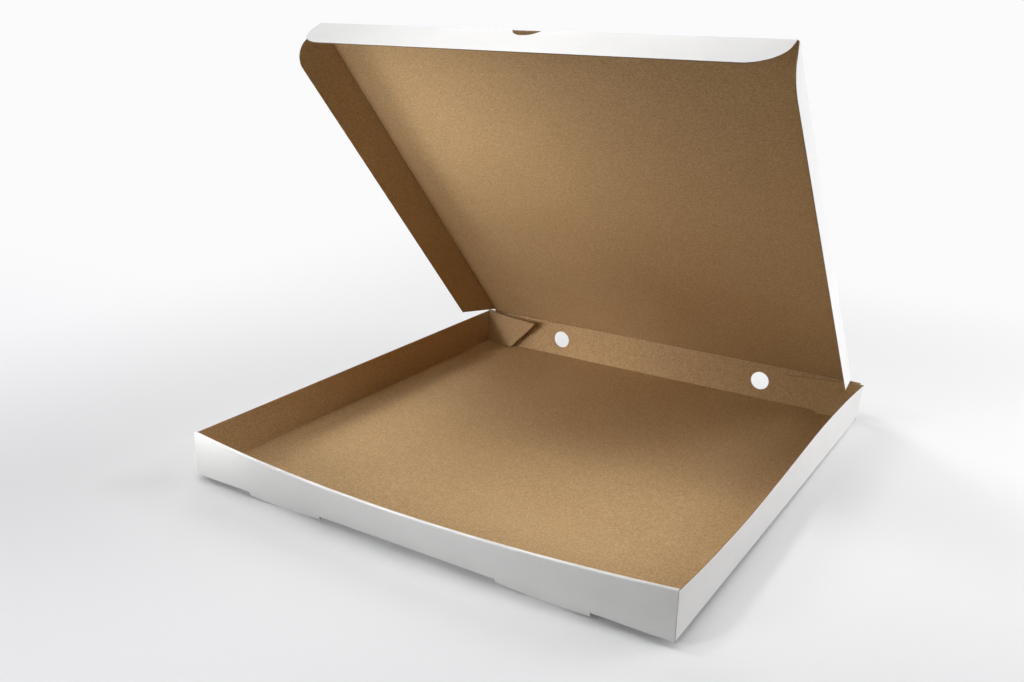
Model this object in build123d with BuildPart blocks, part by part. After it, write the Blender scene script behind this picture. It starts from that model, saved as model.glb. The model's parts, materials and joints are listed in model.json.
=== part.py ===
from build123d import *
from math import asin, atan2, cos, degrees, hypot, radians, sin, sqrt
import os

os.makedirs("parts", exist_ok=True)

# A flat square box folded from one die-cut sheet, white outside and kraft inside, with its lid half open.
# X runs across, the front is at -Y, Z is up, and the origin is the middle of the base's underside.

# The board
board = 0.8  # thickness of the sheet
fold_inside = 0.3  # inside radius of a fold
sheet_gap = 0.2  # room between two sheets that lie face to face
fold_gap = 0.1  # room round the rounded edge of a panel that swings in a fold

# The tray
tray_width = 460.0
tray_depth = 476.0
lid_fold_height = 41.5  # height of the fold that carries the lid
front_drop = 0.8  # the front wall ends this far below that fold
front_bow = 15.5  # how far the front wall's top edge stands out at its middle
front_droop = 3.0  # and how far it drops there
right_lean = 4.0  # how far the right wall's back end leans out at the top
right_wave = 2.2  # its top edge swells and then dips by this much on the way there
corner_nick = 1.5  # the side folds of the base stop this far short of its corners
strip_round = 0.5  # rounding along both edges of the roll-over's top strip

# Tabs that are folded in from the ends of the side walls
front_tab = 65.0  # length, inside the hollow of the roll-over wall
back_tab_top = 80.0  # length of the loose back tabs along their top edge
back_tab_foot = 40.0  # and along their bottom edge
back_tab_angle = 12.0  # how far they stand off the back wall

# Lips that swing down out of the base as the front wall is folded up, and leave slots along the front fold
lip_width = 80.0
lip_place_share = 0.274  # distance from the middle, as a share of the tray's width
lip_drop = 5.0  # how far a lip reaches below the base at its middle
lip_end_drop = 3.0  # and at its ends
slot_room = 0.3  # room at each end of a slot

# Tongues of the roll-over wall's inner panel, which lock behind the lips
tongue_inset = 2.0  # a tongue is this much shorter than its slot at each end
tongue_drop = 2.4
tongue_end_drop = 1.2

# Vents in the back wall
vent_diameter = 20.0
vent_place_share = 0.27  # distance from the middle, as a share of the tray's width

# The lid and its flaps
lid_side_room = 10.0  # from the tray's outside to the fold of a side flap
lid_front_room = 16.0  # from the tray's outside to the fold of the front flap, with the lid shut
lid_open_angle = 48.5  # how far the lid stands open
flap_floor_room = 1.2  # room under the flaps when the lid is shut
flap_wall_room = 0.5  # room between the flaps and the walls when the lid is shut
flap_inset = 1.0  # the flaps stop this far short of the lid's front corners
side_flap_heel = 3.0  # the side flaps begin this far from the lid's own fold
side_flap_rake = 45.0  # their back edge runs this far forward
side_flap_round = 18.0
front_flap_round = 28.0
thumb_width = 28.0
thumb_depth = 10.0

# Worked out from the sizes above
half_width = tray_width / 2
front_y = -tray_depth / 2
back_y = tray_depth / 2
fold_outside = fold_inside + board
rollover = 3 * board + 2 * sheet_gap  # outer panel, trapped tab and inner panel
front_top = lid_fold_height - front_drop
strip_underside = front_top - board
side_top = strip_underside - sheet_gap
back_top = lid_fold_height - board / 2 - fold_gap
edge_stop = board / 2 + fold_gap  # a panel stops this far short of a fold that another swings in

hinge_y = back_y - board / 2
lid_half_width = half_width - lid_side_room
lid_depth = tray_depth - board / 2 - lid_front_room
flap_height = lid_fold_height - board - flap_floor_room
side_reach = lid_side_room - board - board / 2 - flap_wall_room
front_reach = lid_front_room - rollover - board / 2 - flap_wall_room
side_splay = degrees(asin(side_reach / flap_height))
front_splay = degrees(asin(front_reach / flap_height))

handle_pull_share = 2 / 9  # a cubic curve whose handles pull opposite ways moves by this share at its thirds
fold_middle_share = 1 - sqrt(1 / 2)  # a quarter circle passes the corner of its square at this share

across = Vector(1, 0, 0)
along_lid = Vector(0, -cos(radians(lid_open_angle)), sin(radians(lid_open_angle)))
into_box = across.cross(along_lid)
lid_fold = Vector(0, hinge_y, lid_fold_height)

# The front wall is straight at its foot. Its top strip bows and droops, in a plane that tilts down outwards.
strip_tilt = atan2(front_droop, front_bow)
strip_bow = hypot(front_bow, front_droop)
foot_plane = Plane((0, front_y, fold_outside))
strip_plane = Plane((0, front_y, strip_underside), (1, 0, 0), (0, -sin(strip_tilt), cos(strip_tilt)))
tab_droop = front_droop * (1 - (1 - front_tab / tray_width) ** 2)
tab_bow = front_bow * (side_top - fold_outside) / (strip_underside - fold_outside - tab_droop)


def front_curve(bow, setback, start_x, end_x):
    # A stretch of a parabola that spans the front from corner to corner, as three control points.
    def wall_y(x):
        return setback - bow * (1 - (x / half_width) ** 2)

    middle_x = (start_x + end_x) / 2
    start_slope = 2 * bow * start_x / half_width**2
    middle_y = wall_y(start_x) + start_slope * (middle_x - start_x)
    return [(start_x, wall_y(start_x)), (middle_x, middle_y), (end_x, wall_y(end_x))]


def front_section(plane, bow, setback, thickness, reach):
    # A cut along the front wall, through a sheet that runs from -reach to reach.
    outer = front_curve(bow, setback, -reach, reach)
    inner = front_curve(bow, setback + thickness, reach, -reach)
    with BuildSketch(plane) as section:
        with BuildLine():
            Bezier(*outer)
            Line(outer[-1], inner[0])
            Bezier(*inner)
            Line(inner[-1], outer[0])
        make_face()
    return section.sketch


def fold_arc(start, corner, end):
    # The rounding of a fold about square, through the point that its arc has nearest the corner.
    return [start, corner + (start - corner + end - corner) * fold_middle_share, end]


def curved_tab(plane, half_run, root, end_reach, middle_reach):
    # A tab that hangs from its root, with a shallow curve along its free edge.
    left_end = (-half_run, -end_reach)
    right_end = (half_run, -end_reach)
    with BuildSketch(plane) as tab:
        with BuildLine():
            Polyline(left_end, (-half_run, root), (half_run, root), right_end)
            ThreePointArc(right_end, (0, -middle_reach), left_end)
        make_face()
    return tab.sketch


def side_section(height, hand, lean, wave, bow, back_tab):
    # A level cut through a side wall with its front and back tabs, drawn as one folded strip.
    tab_y = front_y + board + sheet_gap
    turn = radians(back_tab_angle)
    tab_way = Vector(-cos(turn), -sin(turn))
    tab_side = Vector(sin(turn), -cos(turn))
    fold_x = half_width - fold_outside

    front_corner = Vector(half_width, tab_y)
    wall_start = front_corner + Vector(0, fold_outside)
    back_corner = Vector(half_width + lean, back_y - board - sheet_gap)
    wall_end = back_corner - Vector(0, fold_outside)
    third = (wall_end - wall_start) * (1 / 3)
    pull = Vector(wave / handle_pull_share, 0)
    first_handle = wall_start + third + pull
    second_handle = wall_end - third - pull

    inward = Vector(-board, 0)
    inner_run = board * (1 + sin(turn)) / cos(turn)
    outer_tab = front_curve(bow, tab_y, half_width - front_tab, fold_x)
    inner_tab = front_curve(bow, tab_y + board, fold_x, half_width - front_tab)
    outer_wall = [wall_start, first_handle, second_handle, wall_end]
    inner_wall = [point + inward for point in reversed(outer_wall)]
    outer_bend = fold_arc(Vector(*outer_tab[-1]), front_corner, wall_start)
    inner_bend = fold_arc(wall_start + inward, front_corner + Vector(-board, board), Vector(*inner_tab[0]))
    outer_turn = fold_arc(wall_end, back_corner, back_corner + tab_way * fold_outside)
    tab_inside = back_corner + tab_side * board
    tab_start = tab_inside + tab_way * fold_outside
    inner_turn = fold_arc(tab_start, tab_inside + tab_way * inner_run, wall_end + inward)
    outer_end = back_corner + tab_way * back_tab
    inner_end = tab_inside + tab_way * back_tab

    def placed(points):
        return [(hand * Vector(*point).X, Vector(*point).Y) for point in points]

    with BuildSketch(Plane.XY.offset(height)) as section:
        with BuildLine():
            Bezier(*placed(outer_tab))
            ThreePointArc(*placed(outer_bend))
            Bezier(*placed(outer_wall))
            ThreePointArc(*placed(outer_turn))
            Polyline(*placed([outer_turn[-1], outer_end, inner_end, tab_start]))
            ThreePointArc(*placed(inner_turn))
            Bezier(*placed(inner_wall))
            ThreePointArc(*placed(inner_bend))
            Bezier(*placed(inner_tab))
            Line(*placed([inner_tab[-1], outer_tab[0]]))
        make_face()
    return section.sketch


# The tray: base, walls, tabs, lips and tongues in one folded piece
with BuildPart() as tray:
    with BuildSketch():
        Rectangle(tray_width - 2 * fold_outside, tray_depth - 2 * fold_outside)
    extrude(amount=board)

    # Folds at the base's four edges; the two at the sides stop short of the corners
    side_run = tray_depth - 2 * fold_outside - 2 * corner_nick
    fold_runs = [
        (Plane((half_width, -side_run / 2, 0), (-1, 0, 0), (0, 1, 0)), side_run),
        (Plane((-half_width, side_run / 2, 0), (1, 0, 0), (0, -1, 0)), side_run),
        (Plane((-half_width, front_y, 0), (0, 1, 0), (1, 0, 0)), tray_width),
        (Plane((half_width, back_y, 0), (0, -1, 0), (-1, 0, 0)), tray_width),
    ]
    for fold_plane, fold_length in fold_runs:
        with BuildSketch(fold_plane):
            with BuildLine():
                centre = (fold_outside, fold_outside)
                CenterArc(centre, fold_outside, 180, 90)
                Line((fold_outside, 0), (fold_outside, board))
                CenterArc(centre, fold_inside, 180, 90)
                Line((board, fold_outside), (0, fold_outside))
            make_face()
        extrude(amount=fold_length)

    # Side walls with their tabs; the right one is wavy and leans out at the back
    for hand, lean, wave in [(-1, 0, 0), (1, right_lean, right_wave)]:
        wall_foot = side_section(fold_outside, hand, 0, 0, 0, back_tab_foot)
        wall_head = side_section(side_top, hand, lean, wave, tab_bow, back_tab_top)
        loft(sections=[wall_foot, wall_head], ruled=True)

    # The front tabs are cut to lie under the roll-over's drooping top strip
    strip_room = front_section(strip_plane.offset(-sheet_gap), strip_bow, 0, rollover, half_width)
    extrude(strip_room, amount=rollover, mode=Mode.SUBTRACT)

    # Slots along the front fold, each as deep as the lip that was cut from it
    lip_places = [-tray_width * lip_place_share, tray_width * lip_place_share]
    half_slot = lip_width / 2 + slot_room
    for place in lip_places:
        slot_plane = Plane((place, front_y, 0), (-1, 0, 0), (0, 0, 1))
        slot = curved_tab(slot_plane, half_slot, -board, fold_outside + lip_end_drop, fold_outside + lip_drop)
        extrude(slot, amount=fold_outside, mode=Mode.SUBTRACT)

    # Roll-over front wall: outer panel, inner panel and the strip over both
    inner_half_width = half_width - fold_outside - sheet_gap
    for setback, reach in [(0, half_width), (rollover - board, inner_half_width)]:
        foot = front_section(foot_plane, 0, setback, board, reach)
        head = front_section(strip_plane, strip_bow, setback, board, reach)
        loft(sections=[foot, head], ruled=True)
    extrude(front_section(strip_plane, strip_bow, 0, rollover, half_width), amount=board)
    strip_top = tray.faces().filter_by(strip_plane).sort_by(SortBy.AREA)[-1]
    fillet(strip_top.edges().sort_by(SortBy.LENGTH)[-2:], radius=strip_round)

    # A lip at the foot of the outer panel and a tongue at the foot of the inner one, at each slot
    for place in lip_places:
        lip_plane = Plane((place, front_y + board, 0), (1, 0, 0), (0, -1, 0))
        tongue_plane = lip_plane.offset(board - rollover)
        lip = curved_tab(lip_plane, lip_width / 2, fold_outside, lip_end_drop, lip_drop)
        tongue = curved_tab(tongue_plane, half_slot - tongue_inset, fold_outside, tongue_end_drop, tongue_drop)
        extrude(lip, amount=board)
        extrude(tongue, amount=board)

    # Back wall with its vents
    back_middle = (fold_outside + back_top) / 2
    vent_places = [(-tray_width * vent_place_share, 0), (tray_width * vent_place_share, 0)]
    with BuildSketch(Plane.XZ.offset(-back_y)):
        with Locations((0, back_middle)):
            Rectangle(tray_width, back_top - fold_outside)
            with Locations(*vent_places):
                Circle(vent_diameter / 2, mode=Mode.SUBTRACT)
    extrude(amount=board)

tray.part.label = "tray"
export_step(tray.part, "parts/tray.step")

# The lid's panel, with a rounded edge that turns in the fold at the top of the back wall
panel_half_width = lid_half_width - edge_stop
with BuildPart() as lid_panel:
    with BuildSketch(Plane(lid_fold - across * panel_half_width, along_lid, across)):
        Rectangle(lid_depth - edge_stop, board, align=(Align.MIN, Align.CENTER))
        Circle(board / 2)
    extrude(amount=2 * panel_half_width)

lid_panel.part.label = "lid_panel"
export_step(lid_panel.part, "parts/lid_panel.step")

# The tuck flaps at the lid's sides, each hanging from its rounded fold edge
side_run_end = lid_depth - flap_inset
for hand, flap_name in [(-1, "lid_left_flap"), (1, "lid_right_flap")]:
    outward = across * hand
    flap_fold = lid_fold + outward * lid_half_width
    hang = into_box * cos(radians(side_splay)) + outward * sin(radians(side_splay))
    with BuildPart() as side_flap:
        with BuildSketch(Plane(flap_fold, along_lid, along_lid.cross(hang))) as side_outline:
            with BuildLine():
                Polyline(
                    (side_flap_heel, 0),
                    (side_flap_heel + side_flap_rake, flap_height),
                    (side_run_end, flap_height),
                    (side_run_end, 0),
                    close=True,
                )
            make_face()
            front_corner = side_outline.vertices().sort_by(Axis.X)[-2:].sort_by(Axis.Y)[-1]
            fillet(front_corner, radius=side_flap_round)
        extrude(amount=board / 2, both=True)
        with BuildSketch(Plane(flap_fold + along_lid * side_flap_heel, across, along_lid)):
            Circle(board / 2)
        extrude(amount=side_run_end - side_flap_heel)
    side_flap.part.label = flap_name
    export_step(side_flap.part, f"parts/{flap_name}.step")

# The tuck flap at the lid's front, with the half-moon thumb cut at its fold
front_fold = lid_fold + along_lid * lid_depth
front_half_run = lid_half_width - flap_inset
front_hang = into_box * cos(radians(front_splay)) + along_lid * sin(radians(front_splay))
front_plane = Plane(front_fold, across, across.cross(front_hang))
thumb_radius = ((thumb_width / 2) ** 2 + thumb_depth**2) / (2 * thumb_depth)
with BuildPart() as lid_front_flap:
    with BuildSketch(front_plane) as front_outline:
        Rectangle(2 * front_half_run, flap_height, align=(Align.CENTER, Align.MIN))
        free_corners = front_outline.vertices().sort_by(Axis.Y)[-2:]
        fillet(free_corners, radius=front_flap_round)
    extrude(amount=board / 2, both=True)
    with BuildSketch(Plane(front_fold - across * front_half_run, along_lid, across)):
        Circle(board / 2)
    extrude(amount=2 * front_half_run)
    with BuildSketch(front_plane):
        with Locations((0, thumb_depth - thumb_radius)):
            Circle(thumb_radius)
    extrude(amount=board, both=True, mode=Mode.SUBTRACT)

lid_front_flap.part.label = "lid_front_flap"
export_step(lid_front_flap.part, "parts/lid_front_flap.step")
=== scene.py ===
import json
import math

import bmesh
import bpy
from mathutils import Matrix, Vector, noise
from mathutils.geometry import delaunay_2d_cdt


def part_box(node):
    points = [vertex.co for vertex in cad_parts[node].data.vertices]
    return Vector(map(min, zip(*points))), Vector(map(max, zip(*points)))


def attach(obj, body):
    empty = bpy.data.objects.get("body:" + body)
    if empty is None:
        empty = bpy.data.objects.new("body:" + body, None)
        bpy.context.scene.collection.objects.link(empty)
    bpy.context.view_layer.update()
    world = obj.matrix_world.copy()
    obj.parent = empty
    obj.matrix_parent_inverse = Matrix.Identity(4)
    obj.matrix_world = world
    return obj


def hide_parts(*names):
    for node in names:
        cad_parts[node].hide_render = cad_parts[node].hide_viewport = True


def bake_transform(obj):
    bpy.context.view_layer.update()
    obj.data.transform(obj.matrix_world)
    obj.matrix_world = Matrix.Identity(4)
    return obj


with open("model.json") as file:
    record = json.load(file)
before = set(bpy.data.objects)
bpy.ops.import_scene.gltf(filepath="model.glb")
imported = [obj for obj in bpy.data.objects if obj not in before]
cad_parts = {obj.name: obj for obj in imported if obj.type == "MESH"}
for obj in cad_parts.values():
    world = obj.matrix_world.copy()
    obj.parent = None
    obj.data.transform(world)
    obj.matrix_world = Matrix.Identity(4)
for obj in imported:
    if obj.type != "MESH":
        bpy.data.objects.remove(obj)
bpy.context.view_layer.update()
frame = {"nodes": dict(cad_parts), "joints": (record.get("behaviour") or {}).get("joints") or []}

mm = 0.001
print("frame loaded with", len(frame["nodes"]), "nodes")

# the board and the sizes that every panel shares, in mm
boardSizes = {
    "thickness": 0.8,
    "foldInside": 0.3,
    "sheetGap": 0.2,
    "hingeRoom": 0.5,  # a panel stops this far short of a fold that swings
    "swayLength": (140.0, 110.0),  # length of a panel's waves, along it and across it
    "sharpAngle": 38.0,  # degrees past which a bend is drawn as an edge
}
thick = boardSizes["thickness"]
foldIn = boardSizes["foldInside"]
foldOut = foldIn + thick
sheetGap = boardSizes["sheetGap"]
hingeRoom = boardSizes["hingeRoom"]
rollDepth = 3 * thick + 2 * sheetGap  # outer panel, trapped tab and inner panel

foldJoints = {joint["name"]: joint for joint in frame["joints"]}
trayLow, trayHigh = [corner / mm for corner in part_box("tray")]
hinge = Vector(foldJoints["lid_fold"]["pos_m"]) / mm
lidFront = Vector(foldJoints["front_flap_fold"]["pos_m"]) / mm
lidHalf = foldJoints["right_flap_fold"]["pos_m"][0] / mm
sideSplay = math.radians(-foldJoints["right_flap_fold"]["range_deg"][0])
frontSplay = math.radians(-foldJoints["front_flap_fold"]["range_deg"][0])
halfWidth = -trayLow.x
backY = trayHigh.y
frontY = -backY
lidDepth = (lidFront - hinge).length
across = Vector((1, 0, 0))
upward = Vector((0, 0, 1))
alongLid = (lidFront - hinge).normalized()
intoBox = across.cross(alongLid)


def hexToLinear(code):
    parts = [int(code[i:i + 2], 16) / 255 for i in (1, 3, 5)]
    return [p / 12.92 if p <= 0.04045 else ((p + 0.055) / 1.055) ** 2.4 for p in parts] + [1]


def addNode(tree, kind, inputs=None, **settings):
    node = tree.nodes.new(kind)
    for key, value in settings.items():
        setattr(node, key, value)
    for key, value in (inputs or {}).items():
        if isinstance(value, bpy.types.NodeSocket):
            tree.links.new(value, node.inputs[key])
        else:
            node.inputs[key].default_value = value
    return node


def newMaterial(name, look):
    material = bpy.data.materials.new(name)
    material.use_nodes = True
    tree = material.node_tree
    shader = tree.nodes["Principled BSDF"]
    for key, socket in (("roughness", "Roughness"), ("ior", "IOR"), ("specular", "Specular IOR Level")):
        if key in look:
            shader.inputs[socket].default_value = look[key]
    place = addNode(tree, "ShaderNodeTexCoord").outputs["Object"]
    return material, tree, shader, place


def setTones(ramp, look):
    for element, position, tone in zip(ramp.elements, look["toneRange"], ("deep", "pale")):
        element.position = position
        element.color = hexToLinear(look[tone])


# uncoated kraft liner: unbleached fibres pressed flat, so it is dull, softly clouded and flecked
kraftLook = {
    "pale": "#CAAB80",
    "deep": "#AC8C61",
    "toneRange": (0.3, 0.7),
    "cloud": 60.0,  # mm across a cloud of denser pulp
    "grain": 1.4,  # fibres are 0.03 mm thick; drawn as 1.4 mm clumps so that they show
    "grainShare": 0.88,  # how much of the tone comes from the clumps, and the rest from the clouds
    "fleckDark": "#7D5B31",
    "fleck": 2.6,  # mm between shives, drawn larger than the real 0.5 mm
    "fleckRange": (0.64, 0.78),
    "fleckMost": 0.45,
    "relief": 0.05,  # mm of fibre relief
    "bump": 0.35,
    "roughness": 0.86,
    "ior": 1.45,
    "specular": 0.28,
}
kraftLiner, tree, shader, place = newMaterial("uncoated_kraft_liner", kraftLook)
cloud = addNode(tree, "ShaderNodeTexNoise", {
    "Vector": place, "Scale": 1 / (kraftLook["cloud"] * mm), "Detail": 3.0, "Roughness": 0.55})
grain = addNode(tree, "ShaderNodeTexNoise", {
    "Vector": place, "Scale": 1 / (kraftLook["grain"] * mm), "Detail": 1.0, "Roughness": 0.5})
fleck = addNode(tree, "ShaderNodeTexNoise", {
    "Vector": place, "Scale": 1 / (kraftLook["fleck"] * mm), "Detail": 4.0, "Roughness": 0.7})
fibre = addNode(tree, "ShaderNodeMix", {
    "Factor": kraftLook["grainShare"], "A": cloud.outputs["Fac"], "B": grain.outputs["Fac"]},
    data_type="FLOAT")
fibreTone = addNode(tree, "ShaderNodeValToRGB", {"Fac": fibre.outputs["Result"]})
setTones(fibreTone.color_ramp, kraftLook)
fleckShare = addNode(tree, "ShaderNodeMapRange", {
    "Value": fleck.outputs["Fac"], "From Min": kraftLook["fleckRange"][0],
    "From Max": kraftLook["fleckRange"][1], "To Min": 0.0, "To Max": kraftLook["fleckMost"]})
fleckTone = addNode(tree, "ShaderNodeMix", {
    "Factor": fleckShare.outputs["Result"], "A": fibreTone.outputs["Color"],
    "B": hexToLinear(kraftLook["fleckDark"])}, data_type="RGBA")
tree.links.new(fleckTone.outputs["Result"], shader.inputs["Base Color"])
fibreBump = addNode(tree, "ShaderNodeBump", {
    "Strength": kraftLook["bump"], "Distance": kraftLook["relief"] * mm, "Height": grain.outputs["Fac"]})
tree.links.new(fibreBump.outputs["Normal"], shader.inputs["Normal"])

# clay-coated bleached liner: smooth white with a faint eggshell sheen and a slight mottle
whiteLook = {
    "pale": "#F2F1F0",
    "deep": "#EFEEED",
    "toneRange": (0.35, 0.65),
    "cloud": 40.0,  # mm across a patch of thinner coating
    "peel": 1.8,  # mm between ripples of the coating, coarser than the real 0.3 mm
    "relief": 0.02,
    "bump": 0.25,
    "roughness": 0.5,
    "ior": 1.48,
    "specular": 0.35,
}
whiteCoat, tree, shader, place = newMaterial("clay_coated_white_liner", whiteLook)
cloud = addNode(tree, "ShaderNodeTexNoise", {
    "Vector": place, "Scale": 1 / (whiteLook["cloud"] * mm), "Detail": 3.0})
peel = addNode(tree, "ShaderNodeTexNoise", {
    "Vector": place, "Scale": 1 / (whiteLook["peel"] * mm), "Detail": 2.0})
coatTone = addNode(tree, "ShaderNodeValToRGB", {"Fac": cloud.outputs["Fac"]})
setTones(coatTone.color_ramp, whiteLook)
tree.links.new(coatTone.outputs["Color"], shader.inputs["Base Color"])
peelBump = addNode(tree, "ShaderNodeBump", {
    "Strength": whiteLook["bump"], "Distance": whiteLook["relief"] * mm, "Height": peel.outputs["Fac"]})
tree.links.new(peelBump.outputs["Normal"], shader.inputs["Normal"])


def openFibres(name, look):
    # board whose fibres lie open: their clumps give it both its tone and its relief
    material, tree, shader, place = newMaterial(name, look)
    clump = addNode(tree, "ShaderNodeTexNoise", {
        "Vector": place, "Scale": 1 / (look["clump"] * mm), "Detail": 3.0, "Roughness": look["raggedness"]})
    tone = addNode(tree, "ShaderNodeValToRGB", {"Fac": clump.outputs["Fac"]})
    setTones(tone.color_ramp, look)
    tree.links.new(tone.outputs["Color"], shader.inputs["Base Color"])
    bump = addNode(tree, "ShaderNodeBump", {
        "Strength": look["bump"], "Distance": look["relief"] * mm, "Height": clump.outputs["Fac"]})
    tree.links.new(bump.outputs["Normal"], shader.inputs["Normal"])
    return material


# die-cut edge: open grey-brown layers between the two liners, dull and a little furry
edgeLook = {
    "pale": "#A98F77",
    "deep": "#7E6551",
    "toneRange": (0.38, 0.62),
    "clump": 0.9,  # mm across a tuft of the layers
    "raggedness": 0.65,
    "relief": 0.1,
    "bump": 0.5,
    "roughness": 0.92,
    "ior": 1.45,
    "specular": 0.2,
}
cutEdge = openFibres("die_cut_board_edge", edgeLook)

# scored kraft fold: crushed, open fibres make it rougher; its darker tone is painted shade along the fold
scoreShadeLook = {
    "pale": "#8F7350",
    "deep": "#66492C",
    "toneRange": (0.35, 0.65),
    "clump": 1.6,  # mm across a crushed patch
    "raggedness": 0.6,
    "relief": 0.1,
    "bump": 0.6,
    "roughness": 0.95,
    "ior": 1.45,
    "specular": 0.15,
}
shadedScoredKraft = openFibres("scored_fold_painted_shade", scoreShadeLook)
print("board finishes made")


# the finishes of a sheet's faces, in the order that finishSheet gives them
kraftFace, whiteFace, cutFace = range(3)


def addFace(sheet, corners, finish):
    face = sheet.faces.new(corners)
    face.material_index = finish


def addGrid(sheet, kraftRows, whiteRows):
    # two skins given as rows of points, closed along their border by the cut edge
    kraft = [[sheet.verts.new(point * mm) for point in row] for row in kraftRows]
    white = [[sheet.verts.new(point * mm) for point in row] for row in whiteRows]
    last, end = len(kraft) - 1, len(kraft[0]) - 1
    for i in range(last):
        for j in range(end):
            kraftCorners = kraft[i][j], kraft[i][j + 1], kraft[i + 1][j + 1], kraft[i + 1][j]
            whiteCorners = white[i][j], white[i + 1][j], white[i + 1][j + 1], white[i][j + 1]
            addFace(sheet, kraftCorners, kraftFace)
            addFace(sheet, whiteCorners, whiteFace)
    border = [(0, j) for j in range(end)] + [(i, end) for i in range(last)]
    border += [(last, j) for j in range(end, 0, -1)] + [(i, 0) for i in range(last, 0, -1)]
    rim = [(kraft[i][j], white[i][j]) for i, j in border]
    for (kraftStart, whiteStart), (kraftStop, whiteStop) in zip(rim, rim[1:] + rim[:1]):
        addFace(sheet, (kraftStart, whiteStart, whiteStop, kraftStop), cutFace)


def isInside(u, v, loops):
    inside = False
    for loop in loops:
        for (startU, startV), (stopU, stopV) in zip(loop, loop[1:] + loop[:1]):
            passes = (startV > v) != (stopV > v)
            if passes and u < startU + (v - startV) * (stopU - startU) / (stopV - startV):
                inside = not inside
    return inside


def edgeGap(u, v, loops):
    point = Vector((u, v))
    gaps = []
    for loop in loops:
        for start, stop in zip(loop, loop[1:] + loop[:1]):
            run = Vector(stop) - Vector(start)
            share = (point - Vector(start)).dot(run) / max(run.length_squared, 1e-9)
            gaps.append((point - Vector(start) - run * min(1, max(0, share))).length)
    return min(gaps)


def addOutline(sheet, loops, spacing, spot):
    # a flat cut shape with holes, filled with a net of points so that it can wave; spot places each skin
    rimShare = 0.4  # the net keeps this share of its spacing clear of the outline
    wholeHull = 0  # triangles come for the whole hull, and those outside the outline are left out
    tolerance = 1e-4  # mm within which points are one
    points, edges = [], []
    for loop in loops:
        first = len(points)
        points += [Vector(pair) for pair in loop]
        edges += [(first + i, first + (i + 1) % len(loop)) for i in range(len(loop))]
    lowU, highU = min(p.x for p in points), max(p.x for p in points)
    lowV, highV = min(p.y for p in points), max(p.y for p in points)
    for i in range(1, int((highU - lowU) / spacing) + 1):
        for j in range(1, int((highV - lowV) / spacing) + 1):
            u, v = lowU + i * spacing, lowV + j * spacing
            if isInside(u, v, loops) and edgeGap(u, v, loops) > rimShare * spacing:
                points.append(Vector((u, v)))
    net = delaunay_2d_cdt(points, edges, [], wholeHull, tolerance)
    flat, faces = net[0], net[2]
    kraft = [sheet.verts.new(spot(p.x, p.y, False) * mm) for p in flat]
    white = [sheet.verts.new(spot(p.x, p.y, True) * mm) for p in flat]
    rim = {}
    for face in faces:
        middle = sum((flat[i] for i in face), Vector((0, 0))) / len(face)
        if not isInside(middle.x, middle.y, loops):
            continue
        addFace(sheet, [kraft[i] for i in face], kraftFace)
        addFace(sheet, [white[i] for i in reversed(face)], whiteFace)
        for pair in zip(face, list(face[1:]) + [face[0]]):
            key = tuple(sorted(pair))
            rim[key] = None if key in rim else pair
    for i, j in filter(None, rim.values()):
        addFace(sheet, (kraft[i], white[i], white[j], kraft[j]), cutFace)
    for vert in [v for v in sheet.verts if not v.link_faces]:
        sheet.verts.remove(vert)


def finishSheet(name, sheet, inside=kraftLiner):
    bmesh.ops.recalc_face_normals(sheet, faces=sheet.faces)
    data = bpy.data.meshes.new(name)
    sheet.to_mesh(data)
    sheet.free()
    for material in (inside, whiteCoat, cutEdge):
        data.materials.append(material)
    data.shade_smooth()
    data.set_sharp_from_angle(angle=math.radians(boardSizes["sharpAngle"]))
    piece = bpy.data.objects.new(name, data)
    bpy.context.scene.collection.objects.link(piece)
    return piece


def sway(u, v, gap, size, seed, fade):
    # how far a panel waves off its plane, none where it is held; gap is the distance to the nearest fold
    share = min(1.0, max(0.0, gap / fade))
    lengthU, lengthV = boardSizes["swayLength"]
    return size * share * share * (3 - 2 * share) * noise.noise(Vector((u / lengthU, v / lengthV, seed)))


def spread(start, stop, steps):
    return [start + (stop - start) * i / steps for i in range(steps + 1)]


def bendPoint(start, corner, stop, share):
    # a point of the bend that leaves start towards corner and comes to stop from there
    return start * (1 - share) ** 2 + corner * 2 * share * (1 - share) + stop * share ** 2


def arcPoints(left, right, reach, endReach, steps):
    # a shallow curve from left to right, endReach deep at its ends and reach at its middle
    half = (right - left) / 2
    swell = reach - endReach
    return [(x, endReach + swell * (1 - ((x - left) / half - 1) ** 2)) for x in spread(left, right, steps)]


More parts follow.
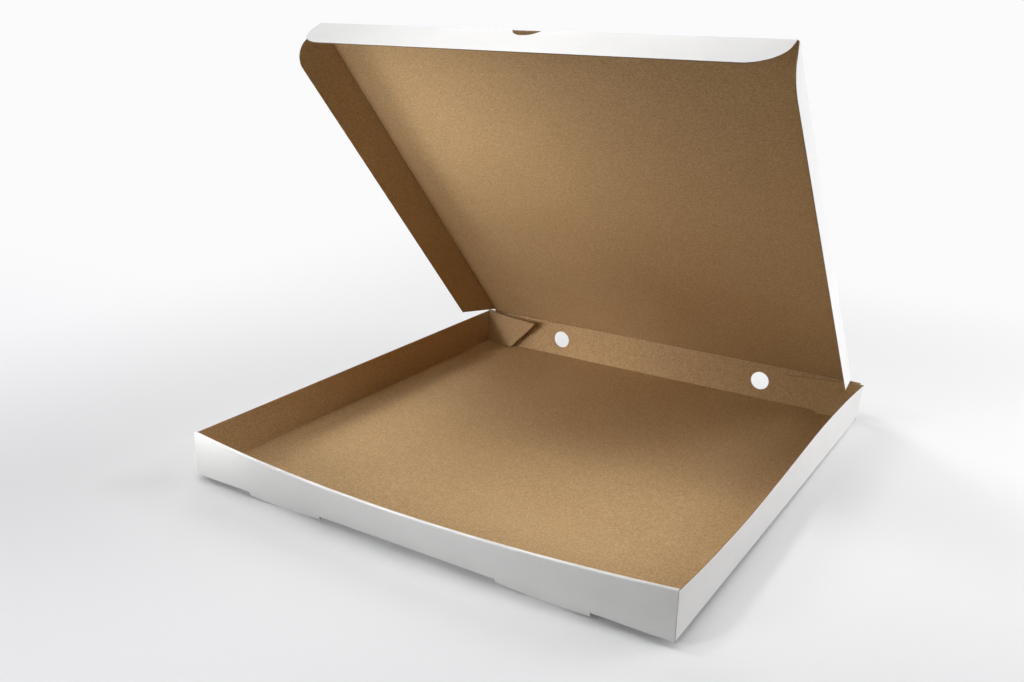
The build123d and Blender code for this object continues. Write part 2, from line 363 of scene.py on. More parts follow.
# the tray: base, folds, roll-over front wall, side walls with their tabs and back wall, in one sheet
traySizes = {
    "frontDrop": 0.8,  # the front wall ends this far below the lid's fold
    "bow": 15.5,  # how far the front wall's top stands out at its middle
    "droop": 3.0,  # and how far it drops there
    "rollRadius": 1.35,
    "rightLean": 4.0,
    "rightWave": 2.2,
    "cornerNick": 1.5,
    "frontTab": 65.0,
    "tabCut": 1.25,  # a front tab's top is cut lower by this many times the strip's droop above it
    "backTabTop": 80.0,
    "backTabFoot": 40.0,
    "backTabAngle": 12.0,
    "lipWidth": 80.0,
    "lipPlace": 126.04,
    "lipDrop": 5.0,
    "lipEndDrop": 3.0,
    "slotRoom": 0.3,
    "tongueInset": 2.0,
    "tongueDrop": 2.4,
    "tongueEndDrop": 1.2,
    "ventDiameter": 20.0,
    "ventPlace": 124.2,
    # how far panels wave, the distance from a fold over which that starts, and which waves they get
    "sway": {
        "floor": {"size": 0.5, "fade": 30.0, "seed": 3.1},
        "front": {"size": 0.5, "fade": 15.0, "seed": 7.7},
        "side": {"size": 0.5, "fade": 40.0, "seed": 11.3},
        "panelShift": 40.0,  # mm by which the front wall's waves shift for each mm that a panel is set back
        "sideSquash": 2.0,  # a side wall's waves are this many times shorter up it
        "heldFront": 10.0,  # the roll-over wall holds this much of a side wall still
    },
    # into how many steps each curve or run is divided; a net's points are this many mm apart
    "steps": {
        "foldTurn": 6,
        "foldRun": 12,
        "wallRise": 8,
        "wallRun": 92,
        "rollTurn": 5,
        "lipRun": 24,
        "lipFall": 4,
        "tabRun": 12,
        "tabTurn": 5,
        "sideRun": 60,
        "sideRise": 9,
        "backTabTurn": 6,
        "vent": 48,
        "baseNet": 13.0,
        "backNet": 9.0,
    },
}
traySway, traySteps = traySizes["sway"], traySizes["steps"]
stripUnder = hinge.z - traySizes["frontDrop"] - thick
sideTop = stripUnder - sheetGap
backTop = hinge.z - hingeRoom
stripTilt = math.atan2(traySizes["droop"], traySizes["bow"])
stripBow = math.hypot(traySizes["bow"], traySizes["droop"])
tabDroop = traySizes["droop"] * (1 - (1 - traySizes["frontTab"] / (2 * halfWidth)) ** 2)
tabBow = traySizes["bow"] * (sideTop - foldOut) / (stripUnder - foldOut - tabDroop)
halfSlot = traySizes["lipWidth"] / 2 + traySizes["slotRoom"]
lipPlaces = (-traySizes["lipPlace"], traySizes["lipPlace"])
traySheet = bmesh.new()

# base, with the two slots that the lips swung out of
baseHalf, baseFront, baseBack = halfWidth - foldOut, frontY + foldOut, backY - foldOut
baseLoop = [(-baseHalf, baseBack), (-baseHalf, baseFront)]
for lipPlace in lipPlaces:
    slotStart, slotStop = lipPlace - halfSlot, lipPlace + halfSlot
    slotCurve = arcPoints(
        slotStart, slotStop, traySizes["lipDrop"], traySizes["lipEndDrop"], traySteps["lipRun"])
    baseLoop += [(slotStart, baseFront)]
    baseLoop += [(x, baseFront + reach) for x, reach in slotCurve]
    baseLoop += [(slotStop, baseFront)]
baseLoop += [(baseHalf, baseFront), (baseHalf, baseBack)]


def baseSpot(u, v, isWhite):
    gap = min(baseHalf - abs(u), v - baseFront, baseBack - v)
    lift = abs(sway(u, v, gap, **traySway["floor"]))
    return Vector((u, v, lift + (0 if isWhite else thick)))


addOutline(traySheet, [baseLoop], traySteps["baseNet"], baseSpot)

# folds round the base; the side ones stop short of the corners and the front one at the slots
sideRun = baseBack - traySizes["cornerNick"]
slotEnds = [place + side * halfSlot for place in lipPlaces for side in (-1, 1)]
frontStops = [-halfWidth] + slotEnds + [halfWidth]
foldRuns = [
    (Vector((side * baseHalf, -sideRun, foldOut)), Vector((0, 2 * sideRun, 0)), Vector((side, 0, 0)))
    for side in (-1, 1)
]
foldRuns += [(Vector((-halfWidth, baseBack, foldOut)), Vector((2 * halfWidth, 0, 0)), Vector((0, 1, 0)))]
foldRuns += [
    (Vector((x0, baseFront, foldOut)), Vector((x1 - x0, 0, 0)), Vector((0, -1, 0)))
    for x0, x1 in zip(frontStops[::2], frontStops[1::2])
]
for start, run, outward in foldRuns:
    skins = []
    for radius in (foldIn, foldOut):
        turns = spread(0, math.pi / 2, traySteps["foldTurn"])
        arc = [start + (outward * math.sin(a) - upward * math.cos(a)) * radius for a in turns]
        alongRun = [run * share for share in spread(0, 1, traySteps["foldRun"])]
        skins.append([[point + step for step in alongRun] for point in arc])
    addGrid(traySheet, skins[0], skins[1])


def frontPoint(x, setback, height):
    # the front wall is straight at its foot; its head bows and droops in a plane that tilts down outwards
    swell = 1 - (x / halfWidth) ** 2
    slide = setback - stripBow * swell
    head = Vector((x, frontY + slide * math.cos(stripTilt), stripUnder + slide * math.sin(stripTilt)))
    if height > stripUnder:
        return head + Vector((0, -math.sin(stripTilt), math.cos(stripTilt))) * (height - stripUnder)
    foot = Vector((x, frontY + setback, foldOut))
    point = foot + (head - foot) * (height - foldOut) / (stripUnder - foldOut)
    gap = min(halfWidth - abs(x), max(0, height), stripUnder - height)
    point.y += sway(x, height + setback * traySway["panelShift"], gap, **traySway["front"])
    return point


def rollPath(inset):
    # the wall's cut from foot to foot, over the top: setback, height and how far it runs to each side
    radius = traySizes["rollRadius"] - inset
    top = stripUnder + thick - inset
    innerReach = halfWidth - foldOut - sheetGap
    rise = [(inset, height, halfWidth) for height in spread(foldOut, top - radius, traySteps["wallRise"])]
    bend = [
        (inset + radius - radius * math.cos(a), top - radius + radius * math.sin(a), halfWidth)
        for a in spread(0, math.pi / 2, traySteps["rollTurn"])[1:]
    ]
    middle = [(rollDepth / 2, top, halfWidth)]
    unbend = [(rollDepth - back, height, halfWidth) for back, height, reach in reversed(bend)]
    fall = [(rollDepth - back, height, innerReach) for back, height, reach in reversed(rise)]
    return rise + bend + middle + unbend + fall


rollSkins = []
for inset in (thick, 0):
    rollSkins.append([
        [frontPoint(reach * share, back, height) for share in spread(-1, 1, traySteps["wallRun"])]
        for back, height, reach in rollPath(inset)
    ])
addGrid(traySheet, rollSkins[0], rollSkins[1])

# lips at the outer panel's foot, in line with it, and the inner panel's tongues behind them
for lipPlace in lipPlaces:
    for inset, drop, endDrop, whiteSetback, kraftSetback in (
        (traySizes["slotRoom"], traySizes["lipDrop"], traySizes["lipEndDrop"], 0, thick),
        (traySizes["tongueInset"], traySizes["tongueDrop"], traySizes["tongueEndDrop"],
         rollDepth, rollDepth - thick),
    ):
        reachHalf = halfSlot - inset
        curve = arcPoints(lipPlace - reachHalf, lipPlace + reachHalf, drop, endDrop, traySteps["lipRun"])
        skins = []
        for back in (kraftSetback, whiteSetback):
            skins.append([
                [frontPoint(x, back, foldOut - (foldOut + reach) * share) for x, reach in curve]
                for share in spread(0, 1, traySteps["lipFall"])
            ])
        addGrid(traySheet, skins[0], skins[1])


def sidePath(side, rise):
    # a level cut through a side wall with its tabs, as outer and inner points; rise is 0 at its foot
    # and 1 at its head
    lean = traySizes["rightLean"] * rise if side > 0 else 0
    wave = traySizes["rightWave"] * rise if side > 0 else 0
    tabLength = traySizes["backTabFoot"] + (traySizes["backTabTop"] - traySizes["backTabFoot"]) * rise
    tabY = frontY + thick + sheetGap
    turn = math.radians(traySizes["backTabAngle"])
    tabWay = Vector((-math.cos(turn), -math.sin(turn)))
    tabSide = Vector((math.sin(turn), -math.cos(turn)))
    outer, inner = [], []

    # the front tab, and its fold round to the wall
    for x in spread(halfWidth - traySizes["frontTab"], halfWidth - foldOut, traySteps["tabRun"]):
        y = tabY - tabBow * rise * (1 - (x / halfWidth) ** 2)
        outer.append(Vector((x, y)))
        inner.append(Vector((x, y + thick)))
    bendX = halfWidth - foldOut
    bendY = tabY + foldOut - tabBow * rise * (1 - (bendX / halfWidth) ** 2)
    for a in spread(0, math.pi / 2, traySteps["tabTurn"])[1:-1]:
        way = Vector((math.sin(a), -math.cos(a)))
        outer.append(Vector((bendX, bendY)) + way * foldOut)
        inner.append(Vector((bendX, bendY)) + way * foldIn)

    # the wall, on a cubic curve in an S; with its handles drawn aside by 9/2 of the wave it stands the wave
    # aside at a third of its length and at two thirds
    wallStart = Vector((halfWidth, tabY + foldOut))
    backCorner = Vector((halfWidth + lean, backY - thick - sheetGap))
    wallEnd = backCorner - Vector((0, foldOut))
    third, pull = (wallEnd - wallStart) / 3, Vector((wave * 9 / 2, 0))
    handles = wallStart, wallStart + third + pull, wallEnd - third - pull, wallEnd
    for share in spread(0, 1, traySteps["sideRun"]):
        rest = 1 - share
        weights = rest ** 3, 3 * share * rest ** 2, 3 * share ** 2 * rest, share ** 3
        point = sum((weight * handle for weight, handle in zip(weights, handles)), Vector((0, 0)))
        outer.append(point)
        inner.append(point - Vector((thick, 0)))

    # the fold round to the back tab, and the tab
    innerCorner = backCorner + tabSide * thick + tabWay * thick * (1 + math.sin(turn)) / math.cos(turn)
    tabStart = backCorner + tabWay * foldOut
    for share in spread(0, 1, traySteps["backTabTurn"])[1:-1]:
        outer.append(bendPoint(wallEnd, backCorner, tabStart, share))
        inner.append(bendPoint(wallEnd - Vector((thick, 0)), innerCorner, tabStart + tabSide * thick, share))
    for length in spread(foldOut, tabLength, traySteps["tabRun"]):
        outer.append(backCorner + tabWay * length)
        inner.append(backCorner + tabWay * length + tabSide * thick)
    return [[Vector((side * p.x, p.y)) for p in skin] for skin in (outer, inner)]


def sidePoint(side, low, high, share):
    # a front tab's top lies under the roll-over's drooping strip
    swell = max(0, 1 - (low.x / halfWidth) ** 2) if low.y < frontY + 2 * foldOut else 0
    cut = traySizes["droop"] * swell * traySizes["tabCut"]
    rise = share * (sideTop - cut - foldOut) / (sideTop - foldOut)
    point = low.lerp(high, rise)
    height = foldOut + rise * (sideTop - foldOut)
    gap = min(point.y - frontY - traySway["heldFront"], backY - point.y, height)
    waves = traySway["side"]
    upWall, size = height * traySway["sideSquash"], waves["size"] * rise
    lift = sway(point.y, upWall, gap, size, waves["seed"] * side, waves["fade"])
    return Vector((point.x - side * abs(lift), point.y, height))


for side in (-1, 1):
    outerFoot, innerFoot = sidePath(side, 0)
    outerHead, innerHead = sidePath(side, 1)
    skins = []
    for foot, head in ((innerFoot, innerHead), (outerFoot, outerHead)):
        skins.append([
            [sidePoint(side, low, high, share) for low, high in zip(foot, head)]
            for share in spread(0, 1, traySteps["sideRise"])
        ])
    addGrid(traySheet, skins[0], skins[1])

# back wall with its two round vents
ventRadius = traySizes["ventDiameter"] / 2
ventHeight = (foldOut + backTop) / 2
backLoops = [[(-halfWidth, foldOut), (halfWidth, foldOut), (halfWidth, backTop), (-halfWidth, backTop)]]
for ventPlace in (-traySizes["ventPlace"], traySizes["ventPlace"]):
    backLoops.append([
        (ventPlace + ventRadius * math.cos(a), ventHeight + ventRadius * math.sin(a))
        for a in spread(0, 2 * math.pi, traySteps["vent"])[:-1]
    ])


def backSpot(u, v, isWhite):
    return Vector((u, backY - (0 if isWhite else thick), v))


addOutline(traySheet, backLoops, traySteps["backNet"], backSpot)
tray = finishSheet("traySheet", traySheet)
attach(tray, "tray")
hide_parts("tray")
print("tray folded:", len(tray.data.polygons), "faces")

# the lid and its tuck flaps
lidSizes = {
    "floorRoom": 1.2,
    "flapInset": 1.0,
    "sideHeel": 3.0,
    "sideRake": 45.0,
    "sideRound": 18.0,
    "frontRound": 28.0,
    "thumbWidth": 28.0,
    "thumbDepth": 10.0,
    # as for the tray; a flap's waves start over its whole height
    "sway": {
        "panel": {"size": 0.9, "fade": 60.0, "seed": 21.5},
        "left": {"size": 0.5, "seed": 30.0},
        "right": {"size": 0.5, "seed": 32.0},
        "front": {"size": 0.5, "seed": 41.0},
    },
    "steps": {"corner": 10, "thumb": 24, "panelNet": 14.0, "flapNet": 9.0},
}
flapHeight = hinge.z - thick - lidSizes["floorRoom"]
panelHalf = lidHalf - hingeRoom
panelEnd = lidDepth - hingeRoom
lidSway, lidSteps = lidSizes["sway"], lidSizes["steps"]


def roundCorner(corner, start, stop, radius):
    # points of a rounded right corner between two ways out of it
    start, stop = Vector(start), Vector(stop)
    centre = Vector(corner) + (start + stop) * radius
    return [tuple(centre - start * radius * math.sin(a) - stop * radius * math.cos(a))
            for a in spread(0, math.pi / 2, lidSteps["corner"])]


def panelSpot(u, v, isWhite):
    gap = min(panelHalf - abs(u), v, panelEnd - v)
    lift = sway(u, v, gap, **lidSway["panel"])
    return hinge + across * u + alongLid * v + intoBox * (lift + (-thick / 2 if isWhite else thick / 2))


lidSheet = bmesh.new()
panelLoop = [(-panelHalf, hingeRoom), (panelHalf, hingeRoom), (panelHalf, panelEnd), (-panelHalf, panelEnd)]
addOutline(lidSheet, [panelLoop], lidSteps["panelNet"], panelSpot)
lidPanel = finishSheet("lidPanel", lidSheet)
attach(lidPanel, "lid")
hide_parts("lid_panel")

flapEnd = lidDepth - lidSizes["flapInset"]
heel, rake = lidSizes["sideHeel"], lidSizes["sideRake"]
sideHangs = {}
for side, flapName in ((-1, "left"), (1, "right")):
    hang = intoBox * math.cos(sideSplay) + across * side * math.sin(sideSplay)
    outward = across * side * math.cos(sideSplay) - intoBox * math.sin(sideSplay)
    root = hinge + across * side * lidHalf
    sideHangs[flapName] = hang

    def sideSpot(u, v, isWhite):
        lift = sway(u, v, v, fade=flapHeight, **lidSway[flapName])
        return root + alongLid * u + hang * v + outward * (lift + (thick / 2 if isWhite else -thick / 2))

    flapLoop = [(heel + rake * hingeRoom / flapHeight, hingeRoom), (flapEnd, hingeRoom)]
    flapLoop += roundCorner((flapEnd, flapHeight), (-1, 0), (0, -1), lidSizes["sideRound"])[::-1]
    flapLoop += [(heel + rake, flapHeight)]
    flapSheet = bmesh.new()
    addOutline(flapSheet, [flapLoop], lidSteps["flapNet"], sideSpot)
    flap = finishSheet(flapName + "Flap", flapSheet)
    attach(flap, flapName + "_flap")
    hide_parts("lid_" + flapName + "_flap")

frontHang = intoBox * math.cos(frontSplay) + alongLid * math.sin(frontSplay)
frontOut = alongLid * math.cos(frontSplay) - intoBox * math.sin(frontSplay)
frontRun = lidHalf - lidSizes["flapInset"]
thumbHalf = lidSizes["thumbWidth"] / 2
thumbRadius = (thumbHalf ** 2 + lidSizes["thumbDepth"] ** 2) / (2 * lidSizes["thumbDepth"])
thumbCentre = lidSizes["thumbDepth"] - thumbRadius
thumbTurn = math.acos((hingeRoom - thumbCentre) / thumbRadius)
thumbEdge = thumbRadius * math.sin(thumbTurn)


def frontSpot(u, v, isWhite):
    lift = sway(u, v, v, fade=flapHeight, **lidSway["front"])
    skin = lift + (thick / 2 if isWhite else -thick / 2)
    return lidFront + across * u + frontHang * v + frontOut * skin


flapLoop = [(-frontRun, hingeRoom)]
flapLoop += [
    (thumbRadius * math.sin(a), thumbCentre + thumbRadius * math.cos(a))
    for a in spread(-thumbTurn, thumbTurn, lidSteps["thumb"])
]
flapLoop += [(frontRun, hingeRoom)]
flapLoop += roundCorner((frontRun, flapHeight), (-1, 0), (0, -1), lidSizes["frontRound"])[::-1]
flapLoop += roundCorner((-frontRun, flapHeight), (1, 0), (0, -1), lidSizes["frontRound"])
flapSheet = bmesh.new()
addOutline(flapSheet, [flapLoop], lidSteps["flapNet"], frontSpot)
frontFlap = finishSheet("frontFlap", flapSheet)
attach(frontFlap, "front_flap")
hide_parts("lid_front_flap")
print("lid and flaps cut")

# the creased board in each fold that swings, bent between its two panels: the bodies that it joins, where
# the fold is, the ways into and out of it, its axis, and the runs along that
creaseSteps = {"turn": 8, "run": 40}
creaseRuns = {
    "lidCrease": ("tray", "lid", hinge, upward, alongLid, across, [(-panelHalf, panelHalf)]),
    "frontFlapCrease": ("lid", "front_flap", lidFront, alongLid, frontHang, across,
                        [(-frontRun, -thumbEdge), (thumbEdge, frontRun)]),
}
for side, flapName in ((-1, "left"), (1, "right")):
    creaseRuns[flapName + "FlapCrease"] = (
        "lid", flapName + "_flap", hinge + across * side * lidHalf, across * side, sideHangs[flapName],
        alongLid, [(heel, flapEnd)])

for name, (bodyA, bodyB, root, wayIn, wayOut, axis, runs) in creaseRuns.items():
    creaseSheet = bmesh.new()
    inside = (wayOut - wayIn).normalized()  # the side that the fold closes towards, which is kraft
    start, end = root - wayIn * hingeRoom, root + wayOut * hingeRoom
    for begin, stop in runs:
        kraftRows, whiteRows = [], []
        alongRun = spread(begin, stop, creaseSteps["run"])
        for share in spread(0, 1, creaseSteps["turn"]):
            point = bendPoint(start, root, end, share)
            way = (wayIn * (1 - share) + wayOut * share).normalized()
            normal = axis.cross(way).normalized()
            if normal.dot(inside) < 0:
                normal = -normal
            kraftRows.append([point + normal * thick / 2 + axis * step for step in alongRun])
            whiteRows.append([point - normal * thick / 2 + axis * step for step in alongRun])
        addGrid(creaseSheet, kraftRows, whiteRows)
    # the crease's kraft side takes the scored finish, whose dark tone is painted shade along the fold
    crease = finishSheet(name, creaseSheet, shadedScoredKraft)
    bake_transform(crease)
print("creases bent")

# raised beads that the creasing rule leaves beside the folds, on the kraft side; the one at the base's front
# would be out of sight inside the roll-over wall
beadSizes = {
    "radius": 0.34,
    "sunk": 0.45,  # share of the radius that its middle lies under the board's face
    "inset": 0.5,
    "ripple": 0.12,
    "rippleLength": 30.0,
    "seed": 5.0,
    "sides": 8,
    "steps": 70,
}
beadTree = bpy.data.node_groups.new("creaseBead", "GeometryNodeTree")
beadTree.interface.new_socket("Geometry", in_out="INPUT", socket_type="NodeSocketGeometry")
beadInputs = {
    name: beadTree.interface.new_socket(name, in_out="INPUT", socket_type=kind).identifier
    for name, kind in (
        ("Bead Radius", "NodeSocketFloat"), ("Ripple", "NodeSocketFloat"),
        ("Ripple Length", "NodeSocketFloat"), ("Seed", "NodeSocketFloat"), ("Finish", "NodeSocketMaterial"))
}
beadTree.interface.new_socket("Geometry", in_out="OUTPUT", socket_type="NodeSocketGeometry")
groupIn = addNode(beadTree, "NodeGroupInput")
path = addNode(beadTree, "GeometryNodeMeshToCurve", {"Mesh": groupIn.outputs["Geometry"]})
where = addNode(beadTree, "GeometryNodeInputPosition")
perMetre = addNode(beadTree, "ShaderNodeMath", {
    0: 1.0, 1: groupIn.outputs["Ripple Length"]}, operation="DIVIDE")
ripple = addNode(beadTree, "ShaderNodeTexNoise", {
    "Vector": where.outputs["Position"], "W": groupIn.outputs["Seed"], "Scale": perMetre.outputs["Value"]},
    noise_dimensions="4D")
swing = addNode(beadTree, "ShaderNodeVectorMath", {
    0: ripple.outputs["Color"], 1: (0.5, 0.5, 0.5)}, operation="SUBTRACT")
shift = addNode(beadTree, "ShaderNodeVectorMath", {
    0: swing.outputs["Vector"], "Scale": groupIn.outputs["Ripple"]}, operation="SCALE")
rippled = addNode(beadTree, "GeometryNodeSetPosition", {
    "Geometry": path.outputs["Curve"], "Offset": shift.outputs["Vector"]})
ring = addNode(beadTree, "GeometryNodeCurvePrimitiveCircle", {
    "Resolution": beadSizes["sides"], "Radius": groupIn.outputs["Bead Radius"]})
bead = addNode(beadTree, "GeometryNodeCurveToMesh", {
    "Curve": rippled.outputs["Geometry"], "Profile Curve": ring.outputs["Curve"], "Fill Caps": True})
solid = addNode(beadTree, "GeometryNodeRealizeInstances", {"Geometry": bead.outputs["Mesh"]})
finished = addNode(beadTree, "GeometryNodeSetMaterial", {
    "Geometry": solid.outputs["Geometry"], "Material": groupIn.outputs["Finish"]})
addNode(beadTree, "NodeGroupOutput", {"Geometry": finished.outputs["Geometry"]})
beadSettings = {
    "Bead Radius": beadSizes["radius"] * mm,
    "Ripple": beadSizes["ripple"] * mm,
    "Ripple Length": beadSizes["rippleLength"] * mm,
    "Seed": beadSizes["seed"],
    "Finish": kraftLiner,
}

sink = beadSizes["radius"] * beadSizes["sunk"]
floorLine = thick - sink
besideFold = foldOut + beadSizes["inset"]
sideBead, backBead = halfWidth - besideFold, backY - besideFold
trayBeads = [
    (Vector((side * sideBead, -sideRun, floorLine)), Vector((side * sideBead, sideRun, floorLine)))
    for side in (-1, 1)
]
trayBeads += [(Vector((-baseHalf, backBead, floorLine)), Vector((baseHalf, backBead, floorLine)))]
beadRoot = hinge + intoBox * (thick / 2 - sink)
beadAcross = across * (panelHalf - beadSizes["inset"])
beadEnd = panelEnd - beadSizes["inset"]
lidBeads = [
    (beadRoot + beadAcross * side + alongLid * heel, beadRoot + beadAcross * side + alongLid * beadEnd)
    for side in (-1, 1)
]
lidBeads += [
    (beadRoot - beadAcross + alongLid * along, beadRoot + beadAcross + alongLid * along)
    for along in (hingeRoom + beadSizes["inset"], beadEnd)
]
for name, body, slot, lines in (
    ("trayBeads", "tray", "tray_board", trayBeads),
    ("lidBeads", "lid", "lid_board", lidBeads),
):
    wires = bmesh.new()
    for start, stop in lines:
        shares = spread(0, 1, beadSizes["steps"])
        row = [wires.verts.new(start.lerp(stop, share) * mm) for share in shares]
        for a, b in zip(row, row[1:]):
            wires.edges.new((a, b))
    data = bpy.data.meshes.new(name + "Lines")
    wires.to_mesh(data)
    wires.free()
    lineObject = bpy.data.objects.new(name + "Lines", data)
    bpy.context.scene.collection.objects.link(lineObject)
    modifier = lineObject.modifiers.new("creaseBead", "NODES")
    modifier.node_group = beadTree
    for key, value in beadSettings.items():
        modifier[beadInputs[key]] = value
    evaluated = lineObject.evaluated_get(bpy.context.evaluated_depsgraph_get())
    beadMesh = bpy.data.meshes.new_from_object(evaluated)
    beadMesh.name = name
    beadMesh.shade_smooth()
    bpy.data.objects.remove(lineObject)
    beads = bpy.data.objects.new(name, beadMesh)
    bpy.context.scene.collection.objects.link(beads)
    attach(beads, body)
print("crease beads laid")


def seenShare(tree):
    # 1 for rays that show a surface to the camera, 0 for those that only carry light between surfaces
    rays = addNode(tree, "ShaderNodeLightPath")
    seen = addNode(tree, "ShaderNodeMath", {
        0: rays.outputs["Is Camera Ray"], 1: rays.outputs["Is Glossy Ray"]}, operation="ADD")
    seenAny = addNode(tree, "ShaderNodeMath", {
        0: seen.outputs[0], 1: rays.outputs["Is Transmission Ray"]}, operation="ADD")
    return seenAny.outputs[0]


# plain pale floor under the lips at the front and the base's back fold; matt paint near the box, and away
# from it an even glow that fades into the background
stageSizes = {
    "reach": 40.0,  # metres from the middle to each side
    "tone": "#F0F0F1",
    "bounce": "#A0A0A0",  # what the floor throws back on the box
    # the glow's tone at the front, darker than the background: painted shade on the floor towards the front
    "front": "#E8E8ED",
    "background": "#FBFBFC",
    "frontRun": (-0.8, 0.3),  # metres over which the front tone turns into the background
    "rim": (0.0, 0.08),  # metres from the box over which the glow rises to its share
    "glow": 0.5,
    "far": (0.05, 0.6),  # metres between which the rest of it comes
    "roughness": 0.9,
    "specular": 0.1,
}
floorPaint, tree, shader, place = newMaterial("matt_white_floor", stageSizes)
seen = seenShare(tree)
floorTone = addNode(tree, "ShaderNodeMix", {
    "Factor": seen, "A": hexToLinear(stageSizes["bounce"]), "B": hexToLinear(stageSizes["tone"])},
    data_type="RGBA")
tree.links.new(floorTone.outputs["Result"], shader.inputs["Base Color"])
folded = addNode(tree, "ShaderNodeVectorMath", {0: place}, operation="ABSOLUTE")
beyond = addNode(tree, "ShaderNodeVectorMath", {
    0: folded.outputs["Vector"], 1: (halfWidth * mm, backY * mm, 0)}, operation="SUBTRACT")
sides = addNode(tree, "ShaderNodeSeparateXYZ", {"Vector": beyond.outputs["Vector"]})
away = addNode(tree, "ShaderNodeMath", {
    0: sides.outputs["X"], 1: sides.outputs["Y"]}, operation="MAXIMUM")
rim, distance = [
    addNode(tree, "ShaderNodeMapRange", {
        "Value": away.outputs[0], "From Min": near, "From Max": far, "To Max": most},
        interpolation_type="SMOOTHSTEP")
    for (near, far), most in (
        (stageSizes["rim"], stageSizes["glow"]), (stageSizes["far"], 1 - stageSizes["glow"]))
]
fade = addNode(tree, "ShaderNodeMath", {
    0: rim.outputs["Result"], 1: distance.outputs["Result"]}, operation="ADD")
share = addNode(tree, "ShaderNodeMath", {0: fade.outputs[0], 1: seen}, operation="MULTIPLY")
depth = addNode(tree, "ShaderNodeSeparateXYZ", {"Vector": place})
# painted shade: the glow's tone darkens from the background towards the front
backShare = addNode(tree, "ShaderNodeMapRange", {
    "Value": depth.outputs["Y"], "From Min": stageSizes["frontRun"][0],
    "From Max": stageSizes["frontRun"][1]}, interpolation_type="SMOOTHSTEP")
glowTone = addNode(tree, "ShaderNodeMix", {
    "Factor": backShare.outputs["Result"], "A": hexToLinear(stageSizes["front"]),
    "B": hexToLinear(stageSizes["background"])}, data_type="RGBA")
glow = addNode(tree, "ShaderNodeEmission", {"Color": glowTone.outputs["Result"], "Strength": 1.0})
mixed = addNode(tree, "ShaderNodeMixShader", {
    0: share.outputs[0], 1: shader.outputs["BSDF"], 2: glow.outputs["Emission"]})
tree.links.new(mixed.outputs["Shader"], tree.nodes["Material Output"].inputs["Surface"])

floorSlope = traySizes["lipDrop"] / (backY - frontY)
floorMesh = bmesh.new()
reach = stageSizes["reach"]
floorMesh.faces.new([
    floorMesh.verts.new((x, y, floorSlope * (y - backY * mm)))
    for x, y in ((-reach, -reach), (reach, -reach), (reach, reach), (-reach, reach))
])
data = bpy.data.meshes.new("studioFloor")
floorMesh.to_mesh(data)
floorMesh.free()
data.materials.append(floorPaint)
studioFloor = bpy.data.objects.new("studioFloor", data)
bpy.context.scene.collection.objects.link(studioFloor)

# soft studio light: far sources stand at an azimuth from the front and an elevation, near ones at a place in
# metres, aimed at the box's middle unless they have an aim; a grid on a lamp narrows its beam, in degrees
boxMiddle = (0.0, 0.0, 0.1)
farLamps = [
    {"name": "backRight", "azimuth": 135, "elevation": 15, "spread": 50, "strength": 1.56},
    {"name": "overhead", "azimuth": 0, "elevation": 89, "spread": 40, "strength": 0.88},
]
nearLamps = [
    {"name": "topBox", "place": (-0.1, -0.35, 0.95), "size": 0.5, "watts": 0.8},
    {"name": "backLeftBox", "place": (-0.9, 0.6, 0.8), "size": 0.7, "watts": 4.1},
    {"name": "rightBox", "place": (0.85, 0.45, 0.35), "size": 0.5, "watts": 3.2},
    {"name": "frontCard", "place": (-0.35, -0.9, 0.3), "size": 0.5, "watts": 1.3},
    {"name": "frontGrid", "place": (-0.44, -1.1, 0.45), "size": 0.3, "watts": 0.172,
     "aim": (0.09, -0.15, 0.0), "beam": 28},
    {"name": "backWallGrid", "place": (-0.4, -0.75, 0.25), "size": 0.14, "watts": 0.09,
     "aim": (-0.09, 0.238, -0.02), "beam": 22},
    {"name": "lidGrid", "place": (-0.6, -0.3, 0.15), "size": 0.2, "watts": 0.108,
     "aim": (-0.16, 0.0, 0.28), "beam": 40},
    {"name": "lidFrontGrid", "place": (-0.35, -0.55, 0.12), "size": 0.2, "watts": 0.065,
     "aim": (-0.15, 0.0, 0.28), "beam": 36},
    {"name": "flapGrid", "place": (-0.32, -0.3, 1.1), "size": 0.25, "watts": 0.225,
     "aim": (0.1, -0.08, 0.37), "beam": 40},
    {"name": "leftGrid", "place": (-0.75, -0.35, 0.5), "size": 0.25, "watts": 0.055,
     "aim": (-0.1, -0.05, 0.0), "beam": 34},
]


def wayFrom(azimuth, elevation):
    # unit vector from the origin towards a viewer or a far lamp; azimuth 0 is straight in front of the box
    level = math.cos(elevation)
    return Vector((math.sin(azimuth) * level, -math.cos(azimuth) * level, math.sin(elevation)))


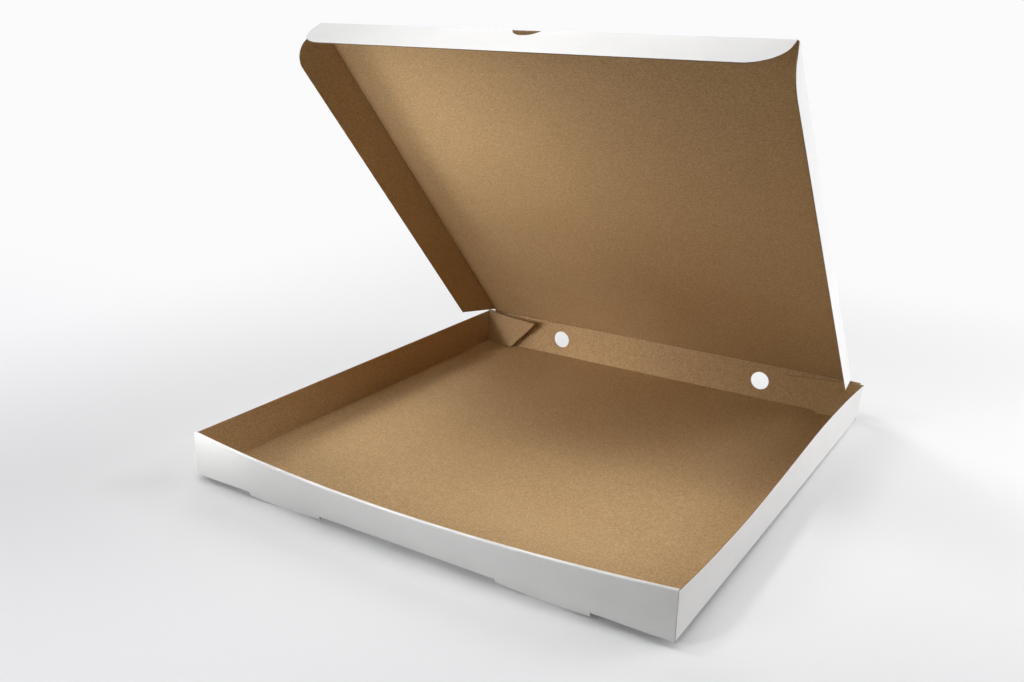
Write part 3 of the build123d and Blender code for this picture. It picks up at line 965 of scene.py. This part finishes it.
for setting in farLamps + nearLamps:
    lamp = bpy.data.lights.new(setting["name"], "SUN" if "azimuth" in setting else "AREA")
    lampObject = bpy.data.objects.new(setting["name"], lamp)
    if "azimuth" in setting:
        direction = wayFrom(math.radians(setting["azimuth"]), math.radians(setting["elevation"]))
        lamp.angle = math.radians(setting["spread"])
        lamp.energy = setting["strength"]
        lampObject.location = direction
    else:
        lampObject.location = Vector(setting["place"])
        direction = lampObject.location - Vector(setting.get("aim", boxMiddle))
        lamp.spread = math.radians(setting.get("beam", 180))
        lamp.shape = "DISK"
        lamp.size = setting["size"]
        lamp.energy = setting["watts"]
        lampObject.visible_camera = False
    lampObject.rotation_euler = direction.to_track_quat("Z", "Y").to_euler()
    bpy.context.scene.collection.objects.link(lampObject)

# the room gives no light of its own; where it shows, it has the background's plain tone
world = bpy.data.worlds.new("paleRoom")
bpy.context.scene.world = world
world.use_nodes = True
tree = world.node_tree
room = tree.nodes["Background"]
room.inputs["Color"].default_value = hexToLinear(stageSizes["background"])
tree.links.new(seenShare(tree), room.inputs["Strength"])
bpy.context.scene.view_settings.view_transform = "Standard"

# camera at the photograph's viewing angle, with its place in mm, for a frame of 1024 by 682
cameraView = {
    "azimuth": 31.55,
    "elevation": 18.11,
    "roll": 1.3,
    "place": (439.8, -796.4, 402.3),
    "focalPixels": 1016.96,
    "framePixels": 1024,
    "sensor": 36,
}
azimuth, elevation, roll = [math.radians(cameraView[key]) for key in ("azimuth", "elevation", "roll")]
back = wayFrom(azimuth, elevation)
right = upward.cross(back).normalized()
up = back.cross(right)
rolledRight = right * math.cos(roll) + up * math.sin(roll)
rolledUp = up * math.cos(roll) - right * math.sin(roll)
cameraData = bpy.data.cameras.new("photoCamera")
cameraData.sensor_width = cameraView["sensor"]
cameraData.lens = cameraView["focalPixels"] / cameraView["framePixels"] * cameraView["sensor"]
cameraData.clip_end = 5 * stageSizes["reach"]
camera = bpy.data.objects.new("photoCamera", cameraData)
turned = Matrix((rolledRight, rolledUp, back)).transposed().to_4x4()
camera.matrix_world = Matrix.Translation(Vector(cameraView["place"]) * mm) @ turned
bpy.context.scene.collection.objects.link(camera)
bpy.context.scene.camera = camera
print("stage, light and camera set")
